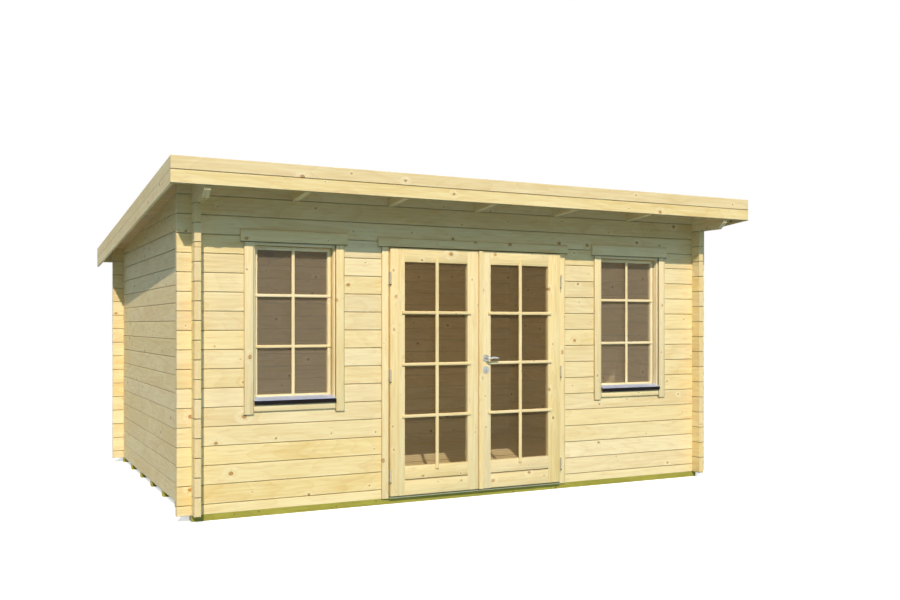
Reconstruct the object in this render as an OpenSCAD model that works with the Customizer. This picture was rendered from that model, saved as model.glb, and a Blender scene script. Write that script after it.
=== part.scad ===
// Log garden house with a single-pitch roof, double glazed doors and two windows.
// The origin is on level ground under the middle of the walls' footprint.
// +X runs along the front to the right, +Y runs from front to back, +Z is up.

/* [Walls] */
// Width over the outer faces of the side walls
wall_w = 4500; // [4200:10:5400]
// Depth over the outer faces of the front and back walls
wall_d = 3300; // [2700:10:3900]
// Thickness of a log
log_t = 45; // [40:1:60]
// Height of one course of logs
course = 135; // [125:1:145]
// Length of the log ends past the walls that they cross
log_end = 100; // [60:1:140]
// Whole courses of the front wall under the rafters
front_courses = 16; // [16:1:18]
// Whole courses of the back wall under the rafters
back_courses = 14; // [12:1:15]
// Courses under the window openings, above the half course
sill_courses = 5; // [3:1:8]
// Courses up to the head of the openings, above the half course
head_courses = 14; // [13:1:15]

/* [Log joint] */
// Width of a tongue at its root
tongue_w = 9; // [6:0.5:10]
// Width of a tongue at its tip
tongue_tip = 7; // [4:0.5:8]
// Height of a tongue
tongue_h = 8; // [5:0.5:12]
// Distance between the two tongues
tongue_pitch = 16; // [14:0.5:20]
// Chamfer on the long edges of a log
log_chamfer = 2.5; // [1:0.5:4]
// Gap left where wood fits into wood
fit_gap = 0.4; // [0.2:0.1:1]

/* [Foundation and floor] */
// Height of a foundation joist
joist_h = 45; // [40:1:70]
// Width of a foundation joist
joist_w = 70; // [45:1:90]
// Number of foundation joists
joist_count = 7; // [5:2:9]
// Thickness of the floor boards
floor_t = 19; // [16:1:28]
// Gap between the floor and the walls
floor_gap = 5; // [2:1:12]

/* [Roof] */
// Width of a rafter
rafter_w = 45; // [35:1:60]
// Upright height of a rafter
rafter_h = 120; // [100:1:160]
// Number of rafters
rafter_count = 5; // [3:1:7]
// Length of the bevel under a rafter's tail
tail_bevel = 70; // [40:1:120]
// Height that the bevel takes off a rafter's tail
tail_rise = 22; // [15:1:40]
// Thickness of the roof boards
deck_t = 18; // [16:1:24]
// Thickness of the roofing felt
felt_t = 3; // [2:0.5:5]
// Reach of the roof past the side walls
side_reach = 220; // [130:1:300]
// Reach of the roof past the front wall
front_reach = 425; // [300:1:600]
// Reach of the roof past the back wall
back_reach = 194; // [130:1:300]
// Thickness of the roof's edge boards
edge_t = 18; // [15:1:24]
// Upright height of one edge board
edge_h = 91; // [85:1:110]
// Height of the edge boards above the roof boards
edge_rise = 18; // [8:1:30]
// Height of the eaves board at the back
eaves_h = 118; // [100:1:130]
// Chamfer on the outer edges of an edge board
edge_chamfer = 2; // [1:0.5:4]
// Distance of the top side logs' front ends behind the roof's front
bracket_back = 25; // [20:1:100]
// Length of the slanting cut under the top side logs' front ends
bracket_cut = 72; // [40:1:120]
// Height of that slanting cut
bracket_rise = 52; // [30:1:90]

/* [Doorway] */
// Clear width between the door jambs
door_w = 1543; // [1200:1:1800]
// Thickness of a jamb
jamb_t = 28; // [20:1:40]
// Depth of a jamb, from the wall's outer face
jamb_d = 85; // [70:1:110]
// Height of the head piece over the doors
door_head_t = 41; // [30:1:60]
// Width of the stop behind the leaves
stop_w = 15; // [10:1:25]
// Height of the threshold
threshold_h = 12.5; // [8:0.5:20]
// Reach of the threshold in front of the wall
threshold_reach = 30; // [10:1:36]

/* [Door leaves] */
// Thickness of a leaf
leaf_t = 42; // [38:1:54]
// Distance of the leaves' front faces in front of the wall
leaf_proud = 39; // [30:1:45]
// Gap round a leaf
leaf_gap = 5.5; // [5:0.5:8]
// Gap between the two leaves
meeting_gap = 8; // [8:0.5:12]
// Distance of that gap to the left of the doorway's middle
meeting_shift = 8; // [0:1:15]
// Width of a stile on the hinge side
hinge_stile = 118; // [90:1:140]
// Distance from the doorway's middle to each glass
mid_stile = 104; // [90:1:130]
// Height of the top rail
top_rail = 105; // [80:1:140]
// Height of the bottom rail, which is two boards
bottom_rail = 222; // [150:1:300]
// Height of the lower of those boards
low_board = 116; // [80:1:140]
// Depth and half width of the V joint between them
board_chamfer = 2.5; // [1:0.5:4]
// Width of the strip that covers the gap between the leaves
cover_w = 34; // [25:1:35]
// Thickness of that strip
cover_t = 14; // [8:1:20]
// Thickness of the glass
glass_t = 4; // [3:0.5:6]
// Depth of the groove that holds the glass
glass_groove = 9; // [6:1:14]

/* [Hinges] */
// Height of a hinge
hinge_h = 90; // [60:1:120]
// Radius of a hinge knuckle
knuckle_r = 6.5; // [6:0.5:8]
// Distance between a hinge knuckle and the leaf's front face
knuckle_gap = 1.5; // [1:0.5:3]
// Radius of a hinge pin
pin_r = 3.5; // [2.5:0.5:4]
// Gap between a hinge pin and its bore
pin_gap = 0.1; // [0.05:0.05:0.2]
// Thickness of a hinge plate
plate_t = 2; // [1.5:0.5:2.5]
// Middle of the lowest hinge above the leaf's bottom
hinge_low = 154; // [100:1:300]
// Middle of the middle hinge above the leaf's bottom
hinge_mid = 918; // [700:1:1100]
// Middle of the highest hinge below the leaf's top
hinge_top = 232; // [100:1:300]

/* [Lever handle] */
// Height of the lever above the foundation joists
lever_z = 1059; // [950:1:1150]
// Distance of the lever's spindle to the right of the doorway's middle
lever_x = 58; // [50:1:65]
// Length of the lever's grip
lever_l = 93; // [80:1:130]
// Radius of the lever's neck, where its grip starts
lever_r = 9; // [7:0.5:10]
// Radius of the lever's tip
lever_tip = 6; // [4:0.5:7]
// Reach of the lever in front of its leaf
lever_reach = 50; // [40:1:70]
// Side of the square spindle
spindle = 8; // [7:1:10]
// Radius of a round plate
rose_r = 26; // [20:1:27]
// Thickness of a round plate
rose_t = 8; // [5:1:12]
// Bevel on a round plate's rim
rose_bevel = 3; // [1:0.5:4]
// Distance of the lock cylinder under the lever
lock_drop = 93; // [72:1:110]
// Radius of the lock cylinder
lock_r = 8.5; // [7:0.5:10]
// Reach of the lock cylinder past its round plates
lock_reach = 2; // [1:0.5:4]

/* [Windows] */
// Distance of a window's middle from the side wall's outer face
window_in = 743; // [600:1:800]
// Width of the opening in the logs
window_w = 652; // [500:1:750]
// Thickness of the window frame
frame_t = 29; // [20:1:35]
// Height of the window frame's head
window_head = 61; // [29:1:70]
// Depth of the window frame, from the wall's outer face
frame_d = 85; // [83:1:110]
// Distance of the sash behind the wall's outer face
sash_in = 45; // [30:1:46]
// Thickness of the sash
sash_t = 38; // [36:1:40]
// Width of the sash's stiles and top rail
sash_stile = 30; // [25:1:60]
// Height of the sash's bottom rail
sash_foot = 46; // [40:1:70]
// Height of the metal sill's back edge above the sash's bottom
sill_up = 32; // [20:1:37]
// Fall of the metal sill from back to front
sill_fall = 24; // [15:1:40]
// Reach of the metal sill in front of the wall
sill_reach = 35; // [20:1:50]
// Height of the sill's front lip
sill_lip = 26; // [18:1:40]
// Thickness of the sill's sheet
sill_t = 2; // [1:0.5:3]

/* [Trim boards] */
// Thickness of the trim boards
trim_t = 17; // [12:1:22]
// Width of the side trims at the doorway
door_trim_w = 58; // [45:1:80]
// Height of the top trim at the doorway
door_trim_h = 72; // [50:1:90]
// Reach of the doorway's top trim past the side trims
door_trim_over = 28; // [0:1:40]
// Width of the side trims at a window
window_trim_w = 70; // [60:1:90]
// Height of the top trim at a window
window_trim_h = 93; // [60:1:100]
// Reach of a window's top trim past the side trims
window_trim_over = 25; // [0:1:40]
// Reveal of the window frame inside its side trims
trim_reveal = 11; // [4:1:15]
// Reveal of the window frame's head under its top trim
head_reveal = 18; // [4:1:25]
// Gap between the sill's lip and the trim board under it
under_gap = 6; // [1:1:12]
// Height of the trim board under a window
under_trim_h = 43; // [25:1:50]
// Reach of a window's side trims below that board
trim_foot = 21; // [0:1:40]

/* [Hidden] */
$fn = 48;

// Overlap of a cutting shape past the face that it cuts
cut = 1;
// Gap under a sloping face that rests on another
seat_gap = 0.2;
half_w = wall_w / 2;
end_x = half_w + log_end;
window_x = half_w - window_in;
sill_z = (sill_courses + 0.5) * course;
head_z = (head_courses + 0.5) * course;
front_plate = (front_courses + 0.5) * course;
back_plate = (back_courses + 0.5) * course;
slope = (front_plate - back_plate) / (wall_d - log_t);
slope_angle = atan(slope);
roof_front = -front_reach + edge_t + seat_gap;
roof_back = wall_d + back_reach - edge_t - seat_gap;
deck_half_w = half_w + side_reach - edge_t - seat_gap;
bracket_reach = front_reach - bracket_back;
bracket_course = front_courses;
tongues = [log_t / 2 - tongue_pitch / 2, log_t / 2 + tongue_pitch / 2];

// Half width of the doorway between the logs, and the edges of its pieces
door_half = door_w / 2;
rough_half = door_half + jamb_t + fit_gap;
leaf_front = -leaf_proud;
leaf_back = leaf_front + leaf_t;
stop_y = leaf_back + leaf_gap;
door_top = head_z - fit_gap - door_head_t;
leaf_low = threshold_h + leaf_gap;
leaf_top = door_top - leaf_gap;
leaf_out = door_half - leaf_gap;
left_meet = -meeting_shift - meeting_gap / 2;
right_meet = -meeting_shift + meeting_gap / 2;
pane_low = leaf_low + bottom_rail;
pane_top = leaf_top - top_rail;
pane_out = leaf_out - hinge_stile;
hinge_x = door_half - leaf_gap / 2;
hinge_y = leaf_front - knuckle_r - knuckle_gap;
hinge_heights = [leaf_low + hinge_low, leaf_low + hinge_mid, leaf_top - hinge_top];

// Window frame and sash, about the middle of the opening
frame_half = window_w / 2 - fit_gap;
frame_low = sill_z + fit_gap;
frame_top = head_z - fit_gap;
sash_half = frame_half - frame_t - fit_gap;
sash_low = frame_low + frame_t + fit_gap;
sash_top = frame_top - window_head - fit_gap;
sash_back = sash_in + sash_t;
trim_half = frame_half - frame_t + trim_reveal;
sill_back_z = sash_low + sill_up;
sill_front_z = sill_back_z - sill_fall;
sill_low_z = sill_front_z - sill_lip;

// Upright heights of the roof's layers at a distance y behind the front face
function rafter_under(y) = front_plate - slope * y;
function deck_under(y) = rafter_under(y) + rafter_h + seat_gap;
function deck_top(y) = deck_under(y) + deck_t;
function edge_top(y) = deck_top(y) + edge_rise;

// Bottom and height of a course in the front and back walls, which start with a half course
function cross_z(k) = k == 0 ? 0 : (k - 0.5) * course;
function cross_h(k) = (k == 0 ? course / 2 : course) - fit_gap;

// Places shapes made on the walls' plan, with y = 0 on the front face and z = 0 on the joists
module on_site() {
    translate([0, -wall_d / 2, joist_h])
        children();
}

// Extrudes a profile drawn in (y, z) along x
module along_x(x0, x1) {
    translate([x0, 0, 0])
        rotate([90, 0, 90])
            linear_extrude(x1 - x0)
                children();
}

// Extrudes a profile drawn in (x, z) along y
module along_y(y0, y1) {
    translate([0, y1, 0])
        rotate([90, 0, 0])
            linear_extrude(y1 - y0)
                children();
}

// A box from its lowest to its highest corner
module block(low, high) {
    translate(low)
        cube(high - low);
}

// A round bar along y
module round_y(x, z, y0, y1, r) {
    translate([x, y0, z])
        rotate([-90, 0, 0])
            cylinder(h = y1 - y0, r = r);
}

// ---- Logs ----

function groove_points(c) = [
    [c - tongue_w / 2 - fit_gap, 0],
    [c - tongue_tip / 2 - fit_gap, tongue_h + fit_gap],
    [c + tongue_tip / 2 + fit_gap, tongue_h + fit_gap],
    [c + tongue_w / 2 + fit_gap, 0]
];

function tongue_points(c, h) = [
    [c + tongue_w / 2, h],
    [c + tongue_tip / 2, h + tongue_h],
    [c - tongue_tip / 2, h + tongue_h],
    [c - tongue_w / 2, h]
];

// Section of a log: two grooves below, two tongues above and chamfered edges
module log_section(h, grooved) {
    low = grooved ? concat(groove_points(tongues[0]), groove_points(tongues[1])) : [];
    high = concat(tongue_points(tongues[1], h), tongue_points(tongues[0], h));
    polygon(concat(
        [[log_chamfer, 0]], low, [[log_t - log_chamfer, 0], [log_t, log_chamfer]],
        [[log_t, h - log_chamfer], [log_t - log_chamfer, h]], high,
        [[log_chamfer, h], [0, h - log_chamfer], [0, log_chamfer]]
    ));
}

// Logs of the front or back wall from one course to another, between two places along x
module cross_logs(x0, x1, first, last) {
    for (k = [first:last])
        translate([0, 0, cross_z(k)])
            along_x(x0, x1)
                log_section(cross_h(k), k > 0);
}

// Slots in the front or back wall's logs that let the side walls' necks through
module side_neck_slots(top_course) {
    for (side = [-1, 1], j = [0:top_course])
        translate([side * (half_w - log_t / 2), log_t / 2, (j + 0.5) * course])
            cube([log_t + 2 * fit_gap, log_t + 2 * cut, course / 2 + fit_gap], center = true);
}

// Slots in a side wall's logs that let the front or back wall's necks through
module cross_neck_slots(x_mid, y_mid, top_course) {
    for (k = [0:top_course])
        translate([x_mid, y_mid, k * course])
            cube([log_t + 2 * cut, log_t + 2 * fit_gap, course / 2 + fit_gap], center = true);
}

// Everything above the underside of the roof boards
module above_roof(x0, x1) {
    far = wall_d + back_reach + cut;
    near = -front_reach - cut;
    high = deck_under(near) + 3 * course;
    along_x(x0, x1)
        polygon([
            [near, deck_under(near) - seat_gap], [far, deck_under(far) - seat_gap],
            [far, high], [near, high]
        ]);
}

// Space that the rafters need through a wall
module rafter_slots(y0, y1) {
    for (i = [1:rafter_count])
        along_x(rafter_x(i) - rafter_w / 2 - fit_gap, rafter_x(i) + rafter_w / 2 + fit_gap)
            polygon([
                [y0, rafter_under(y0) - seat_gap], [y1, rafter_under(y1) - seat_gap],
                [y1, deck_under(y1) + course], [y0, deck_under(y0) + course]
            ]);
}

function rafter_x(i) = -half_w + i * wall_w / (rafter_count + 1);

// ---- Walls ----

// Flat seat for a window frame, where the log under it has no tongues
module window_seat() {
    block(
        [-window_x - window_w / 2, -cut, sill_z - fit_gap],
        [-window_x + window_w / 2, log_t + cut, sill_z + tongue_h + cut]
    );
}

module front_wall_low(side) {
    color("burlywood")
        on_site()
            mirror([side < 0 ? 0 : 1, 0, 0])
                difference() {
                    cross_logs(-end_x, -rough_half, 0, sill_courses);
                    side_neck_slots(sill_courses);
                    window_seat();
                }
}

module front_wall_low_left() {
    front_wall_low(-1);
}

module front_wall_low_right() {
    front_wall_low(1);
}

module front_wall_corner(side) {
    color("burlywood")
        on_site()
            mirror([side < 0 ? 0 : 1, 0, 0])
                difference() {
                    cross_logs(-end_x, -window_x - window_w / 2, sill_courses + 1, head_courses);
                    side_neck_slots(head_courses);
                }
}

module front_wall_corner_left() {
    front_wall_corner(-1);
}

module front_wall_corner_right() {
    front_wall_corner(1);
}

module front_wall_pier(side) {
    color("burlywood")
        on_site()
            mirror([side < 0 ? 0 : 1, 0, 0])
                cross_logs(-window_x + window_w / 2, -rough_half, sill_courses + 1, head_courses);
}

module front_wall_pier_left() {
    front_wall_pier(-1);
}

module front_wall_pier_right() {
    front_wall_pier(1);
}

module front_wall_top() {
    color("burlywood")
        on_site()
            difference() {
                cross_logs(-end_x, end_x, head_courses + 1, front_courses + 1);
                side_neck_slots(front_courses + 1);
                above_roof(-end_x - cut, end_x + cut);
                rafter_slots(-cut, log_t + cut);
            }
}

module back_wall() {
    color("burlywood")
        on_site()
            difference() {
                translate([0, wall_d - log_t, 0])
                    difference() {
                        cross_logs(-end_x, end_x, 0, back_courses + 1);
                        side_neck_slots(back_courses + 1);
                    }
                above_roof(-end_x - cut, end_x + cut);
                rafter_slots(wall_d - log_t - cut, wall_d + cut);
            }
}

// Logs of a side wall before the roof's slope is cut, with the long top logs at the front
module side_logs(x0, top_course) {
    for (j = [0:top_course])
        translate([x0, 0, j * course])
            along_y(j < bracket_course ? -log_end : -bracket_reach, wall_d + log_end)
                log_section(course - fit_gap, true);
}

module side_wall(x0) {
    top_course = floor(deck_under(-bracket_reach) / course);
    bracket_z = bracket_course * course;
    color("burlywood")
        on_site()
            difference() {
                side_logs(x0, top_course);
                above_roof(x0 - cut, x0 + log_t + cut);
                cross_neck_slots(x0 + log_t / 2, log_t / 2, front_courses + 1);
                cross_neck_slots(x0 + log_t / 2, wall_d - log_t / 2, back_courses + 1);
                along_x(x0 - cut, x0 + log_t + cut)
                    polygon([
                        [-bracket_reach + bracket_cut, bracket_z - cut],
                        [-bracket_reach + bracket_cut, bracket_z],
                        [-bracket_reach, bracket_z + bracket_rise],
                        [-bracket_reach - cut, bracket_z + bracket_rise],
                        [-bracket_reach - cut, bracket_z - cut]
                    ]);
            }
}

module left_wall() {
    side_wall(-half_w);
}

module right_wall() {
    side_wall(half_w - log_t);
}

// ---- Foundation and floor ----

module foundation_joists() {
    pitch = (wall_d - joist_w) / (joist_count - 1);
    color("olivedrab")
        on_site()
            for (i = [0:joist_count - 1])
                block([-half_w, i * pitch, -joist_h], [half_w, i * pitch + joist_w, 0]);
}

module floor() {
    x = half_w - log_t - floor_gap;
    near = log_t + floor_gap;
    far = wall_d - log_t - floor_gap;
    color("wheat")
        on_site()
            difference() {
                block([-x, near, 0], [x, far, floor_t]);
                block(
                    [-rough_half - fit_gap, near - cut, -cut],
                    [rough_half + fit_gap, jamb_d + fit_gap, floor_t + cut]
                );
            }
}

// ---- Roof ----

module rafters() {
    tail = rafter_under(roof_back) + tail_rise;
    color("tan")
        on_site()
            for (i = [1:rafter_count])
                along_x(rafter_x(i) - rafter_w / 2, rafter_x(i) + rafter_w / 2)
                    polygon([
                        [roof_front, rafter_under(roof_front)],
                        [roof_back - tail_bevel, rafter_under(roof_back - tail_bevel)],
                        [roof_back, tail],
                        [roof_back, rafter_under(roof_back) + rafter_h],
                        [roof_front, rafter_under(roof_front) + rafter_h]
                    ]);
}

module roof_boards() {
    color("tan")
        on_site()
            along_x(-deck_half_w, deck_half_w)
                polygon([
                    [roof_front, deck_under(roof_front)], [roof_back, deck_under(roof_back)],
                    [roof_back, deck_top(roof_back)], [roof_front, deck_top(roof_front)]
                ]);
}

module roofing_felt() {
    far = wall_d + back_reach;
    color("dimgray")
        on_site()
            along_x(-deck_half_w, deck_half_w)
                polygon([
                    [roof_front, deck_top(roof_front)], [far, deck_top(far)],
                    [far, deck_top(far) + felt_t], [roof_front, deck_top(roof_front) + felt_t]
                ]);
}

// Section of an edge board, with its outer face at x = 0 and its body on the -x side
module edge_section(h) {
    polygon([
        [-edge_t, 0], [-edge_chamfer, 0], [0, edge_chamfer],
        [0, h - edge_chamfer], [-edge_chamfer, h], [-edge_t, h]
    ]);
}

module front_fascia() {
    x = half_w + side_reach;
    low = edge_top(-front_reach) - 2 * edge_h;
    color("burlywood")
        on_site()
            for (i = [0, 1])
                translate([x, -front_reach, low + i * edge_h])
                    rotate([0, 0, -90])
                        along_y(-2 * x, 0)
                            edge_section(edge_h - fit_gap);
}

// Two boards along the roof's side, cut upright at both ends
module bargeboard(side) {
    x = half_w + side_reach;
    run = wall_d + back_reach + front_reach;
    upright = cos(slope_angle);
    color("burlywood")
        on_site()
            mirror([side < 0 ? 1 : 0, 0, 0])
                intersection() {
                    for (i = [1, 2])
                        translate([x, -front_reach, edge_top(-front_reach) - i * edge_h])
                            rotate([-slope_angle, 0, 0])
                                along_y(-edge_h, run + edge_h)
                                    edge_section((edge_h - fit_gap) * upright);
                    block(
                        [x - edge_t - cut, roof_front, 0],
                        [x + cut, wall_d + back_reach, edge_top(-front_reach) + cut]
                    );
                }
}

module left_bargeboard() {
    bargeboard(-1);
}

module right_bargeboard() {
    bargeboard(1);
}

module eaves_board() {
    near = wall_d + back_reach - edge_t;
    high = deck_top(wall_d + back_reach) - seat_gap;
    color("burlywood")
        on_site()
            block([-deck_half_w, near, high - eaves_h], [deck_half_w, near + edge_t, high]);
}

// ---- Windows ----

module at_window(side) {
    on_site()
        translate([side * window_x, 0, 0])
            children();
}

// A flat ring standing in the wall, with its own heights for the lowest and highest members
module upright_ring(half, low, high, side, foot, head, y0, y1) {
    difference() {
        block([-half, y0, low], [half, y1, high]);
        block([-half + side, y0 - cut, low + foot], [half - side, y1 + cut, high - head]);
    }
}

module window_frame(side) {
    color("burlywood")
        at_window(side)
            upright_ring(
                frame_half, frame_low, frame_top, frame_t, frame_t, window_head, 0, frame_d
            );
}

module window_frame_left() {
    window_frame(-1);
}

module window_frame_right() {
    window_frame(1);
}

module window_pane(side, gap, thick) {
    half = sash_half - sash_stile + glass_groove - gap;
    low = sash_low + sash_foot - glass_groove + gap;
    high = sash_top - sash_stile + glass_groove - gap;
    mid = sash_in + sash_t / 2;
    block([-half, mid - thick / 2, low], [half, mid + thick / 2, high]);
}

module window_sash(side) {
    color("wheat")
        at_window(side)
            difference() {
                upright_ring(
                    sash_half, sash_low, sash_top, sash_stile, sash_foot, sash_stile,
                    sash_in, sash_back
                );
                window_pane(side, 0, glass_t + 2 * fit_gap);
            }
}

module window_sash_left() {
    window_sash(-1);
}

module window_sash_right() {
    window_sash(1);
}

module window_glass(side) {
    color("lightblue", 0.4)
        at_window(side)
            window_pane(side, fit_gap, glass_t);
}

module window_glass_left() {
    window_glass(-1);
}

module window_glass_right() {
    window_glass(1);
}

// Sheet metal sill: it slopes from the sash to a front lip that hangs below. In front of the
// wall it fills the space between the side trims, and behind that it fits inside the frame.
module window_sill(side) {
    wide = trim_half - fit_gap;
    back = sash_in - fit_gap;
    front = -sill_reach;
    color("lightsteelblue")
        at_window(side)
            difference() {
                along_x(-wide, wide)
                    polygon([
                        [back, sill_back_z], [front, sill_front_z], [front, sill_low_z],
                        [front + sill_t, sill_low_z], [front + sill_t, sill_front_z - sill_t],
                        [back, sill_back_z - sill_t]
                    ]);
                for (s = [-1, 1])
                    block(
                        [s < 0 ? -wide - cut : sash_half, -fit_gap, sill_low_z],
                        [s < 0 ? -sash_half : wide + cut, back + cut, sill_back_z + cut]
                    );
            }
}

module window_sill_left() {
    window_sill(-1);
}

module window_sill_right() {
    window_sill(1);
}

// Trim boards round the outside of a window: two sides, a top and one under the sill
module window_trim(side) {
    top = frame_top - window_head + head_reveal;
    under = sill_low_z - under_gap;
    low = under - under_trim_h;
    outer = trim_half + window_trim_w;
    over = outer + window_trim_over;
    color("burlywood")
        at_window(side) {
            for (s = [-1, 1])
                block(
                    [s < 0 ? -outer : trim_half, -trim_t, low - trim_foot],
                    [s < 0 ? -trim_half : outer, 0, top - fit_gap]
                );
            block([-over, -trim_t, top], [over, 0, top + window_trim_h]);
            block([-trim_half + fit_gap, -trim_t, low], [trim_half - fit_gap, 0, under]);
        }
}

module window_trim_left() {
    window_trim(-1);
}

module window_trim_right() {
    window_trim(1);
}

// ---- Doorway ----

// Two rebated jambs and a rebated head between them
module door_frame() {
    outer = rough_half - fit_gap;
    inner = door_half - stop_w;
    color("burlywood")
        on_site() {
            for (side = [0, 1])
                mirror([side, 0, 0])
                    linear_extrude(head_z - fit_gap)
                        polygon([
                            [-outer, 0], [-door_half, 0], [-door_half, stop_y],
                            [-inner, stop_y], [-inner, jamb_d], [-outer, jamb_d]
                        ]);
            along_x(-door_half + fit_gap, door_half - fit_gap)
                polygon([
                    [0, head_z - fit_gap], [0, door_top], [stop_y - fit_gap, door_top],
                    [stop_y - fit_gap, head_z - fit_gap]
                ]);
            along_x(-inner + fit_gap, inner - fit_gap)
                polygon([
                    [stop_y, head_z - fit_gap], [stop_y, door_top - stop_w],
                    [jamb_d, door_top - stop_w], [jamb_d, head_z - fit_gap]
                ]);
        }
}

module door_trim() {
    outer = door_half + door_trim_w;
    over = outer + door_trim_over;
    color("burlywood")
        on_site() {
            for (s = [-1, 1])
                block(
                    [s < 0 ? -outer : door_half, -trim_t, 0],
                    [s < 0 ? -door_half : outer, 0, door_top - fit_gap]
                );
            block([-over, -trim_t, door_top], [over, 0, door_top + door_trim_h]);
        }
}

// Metal threshold with a bevelled front edge, narrower where it runs between the stops
module door_threshold() {
    x = door_half - fit_gap;
    narrow = door_half - stop_w - fit_gap;
    color("silver")
        on_site() {
            along_x(-x, x)
                polygon([
                    [-threshold_reach, 0], [stop_y - fit_gap, 0], [stop_y - fit_gap, threshold_h],
                    [threshold_h / 2 - threshold_reach, threshold_h],
                    [-threshold_reach, threshold_h / 2]
                ]);
            block([-narrow, leaf_back, 0], [narrow, jamb_d, threshold_h]);
        }
}

// ---- Door leaves ----

// Pane between two places along x; a gap makes the pane smaller than its groove
module door_pane(x0, x1, gap, thick) {
    grip = glass_groove - gap;
    mid = leaf_front + leaf_t / 2;
    block(
        [x0 - grip, mid - thick / 2, pane_low - grip],
        [x1 + grip, mid + thick / 2, pane_top + grip]
    );
}

// V joint between two boards, centred on a height, cut into a face whose outside is at -y
module v_joint(x0, x1, y, z) {
    along_x(x0, x1)
        polygon([
            [y - cut, z - board_chamfer - cut], [y + board_chamfer, z],
            [y - cut, z + board_chamfer + cut]
        ]);
}

// Glazed leaf between two places along x, with its pane between two others
module leaf(x0, x1, pane0, pane1) {
    joint_z = leaf_low + low_board;
    difference() {
        block([x0, leaf_front, leaf_low], [x1, leaf_back, leaf_top]);
        block([pane0, leaf_front - cut, pane_low], [pane1, leaf_back + cut, pane_top]);
        door_pane(pane0, pane1, 0, glass_t + 2 * fit_gap);
        v_joint(pane0, pane1, leaf_front, joint_z);
        mirror([0, 1, 0])
            v_joint(pane0, pane1, -leaf_back, joint_z);
    }
}

module door_leaf_left() {
    color("burlywood")
        on_site()
            leaf(-leaf_out, left_meet, -pane_out, -mid_stile);
}

// The right leaf carries the lock, so it is bored for the spindle and the cylinder
module door_leaf_right() {
    color("burlywood")
        on_site()
            difference() {
                leaf(right_meet, leaf_out, mid_stile, pane_out);
                round_y(lever_x, lever_z, leaf_front - cut, leaf_back + cut, spindle);
                round_y(
                    lever_x, lever_z - lock_drop, leaf_front - cut, leaf_back + cut,
                    lock_r + fit_gap
                );
            }
}

module door_glass_left() {
    color("lightblue", 0.4)
        on_site()
            door_pane(-pane_out, -mid_stile, fit_gap, glass_t);
}

module door_glass_right() {
    color("lightblue", 0.4)
        on_site()
            door_pane(mid_stile, pane_out, fit_gap, glass_t);
}

// Strip with bevelled front edges, fixed to the right leaf beside the gap
module door_cover_strip() {
    bevel = cover_t / 3;
    color("burlywood")
        on_site()
            translate([right_meet, leaf_front, leaf_low])
                linear_extrude(leaf_top - leaf_low)
                    polygon([
                        [0, 0], [0, bevel - cover_t], [bevel, -cover_t],
                        [cover_w - bevel, -cover_t], [cover_w, bevel - cover_t], [cover_w, 0]
                    ]);
}

// ---- Hinges ----

// The jamb's half of each left hinge: lower knuckle, plate on the jamb and upright pin
module jamb_hinges() {
    on_site()
        for (z = hinge_heights)
            translate([-hinge_x, hinge_y, z]) {
                translate([0, 0, -hinge_h / 2])
                    cylinder(h = hinge_h / 2 - fit_gap, r = knuckle_r);
                translate([0, 0, -cut])
                    cylinder(h = hinge_h / 2 - cut, r = pin_r);
                block(
                    [hinge_x - door_half, 0, -hinge_h / 2],
                    [hinge_x - door_half + plate_t, leaf_front - hinge_y + cut, -fit_gap]
                );
                block(
                    [hinge_x - door_half, leaf_front - hinge_y, -hinge_h / 2],
                    [hinge_x - door_half + plate_t, -hinge_y, hinge_h / 2]
                );
            }
}

// The leaf's half of each left hinge: upper knuckle bored for the pin, and plate on the leaf
module leaf_hinges() {
    on_site()
        for (z = hinge_heights)
            translate([-hinge_x, hinge_y, z])
                difference() {
                    union() {
                        translate([0, 0, fit_gap])
                            cylinder(h = hinge_h / 2 - fit_gap, r = knuckle_r);
                        block(
                            [hinge_x - leaf_out - plate_t, 0, fit_gap],
                            [hinge_x - leaf_out, leaf_front - hinge_y + cut, hinge_h / 2]
                        );
                        block(
                            [hinge_x - leaf_out - plate_t, leaf_front - hinge_y, -hinge_h / 2],
                            [hinge_x - leaf_out, leaf_back - hinge_y - cut, hinge_h / 2]
                        );
                    }
                    translate([0, 0, -cut])
                        cylinder(h = hinge_h / 2 + 2 * cut, r = pin_r + pin_gap);
                }
}

module hinge_pins_left() {
    color("silver")
        jamb_hinges();
}

module hinge_pins_right() {
    color("silver")
        mirror([1, 0, 0])
            jamb_hinges();
}

module hinge_knuckles_left() {
    color("silver")
        leaf_hinges();
}

module hinge_knuckles_right() {
    color("silver")
        mirror([1, 0, 0])
            leaf_hinges();
}

// ---- Lock and lever ----

// Round plates for the lever and the lock, on both faces of the right leaf
module lock_plates() {
    color("silver")
        on_site()
            for (face = [[leaf_front, 90], [leaf_back, -90]])
                for (hole = [[0, lever_r + fit_gap], [lock_drop, lock_r + fit_gap]])
                    translate([lever_x, face[0], lever_z - hole[0]])
                        rotate([face[1], 0, 0])
                            round_plate(hole[1]);
}

// Bevelled round plate that stands on z = 0, with a hole
module round_plate(hole_r) {
    rotate_extrude()
        polygon([
            [hole_r, 0], [rose_r, 0], [rose_r, rose_t - rose_bevel],
            [rose_r - rose_bevel, rose_t], [hole_r, rose_t]
        ]);
}

module lock_cylinder() {
    past = rose_t + lock_reach;
    color("silver")
        on_site()
            round_y(lever_x, lever_z - lock_drop, leaf_front - past, leaf_back + past, lock_r);
}

// Neck and grip on one face of the leaf, drawn for a face at y = 0 with -y outwards
module lever_bar() {
    round_y(0, 0, -lever_reach, -fit_gap, lever_r);
    translate([0, -lever_reach, 0])
        sphere(r = lever_r);
    translate([0, -lever_reach, 0])
        rotate([0, 90, 0])
            cylinder(h = lever_l - lever_tip, r1 = lever_r, r2 = lever_tip);
    translate([lever_l - lever_tip, -lever_reach, 0])
        sphere(r = lever_tip);
}

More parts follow.
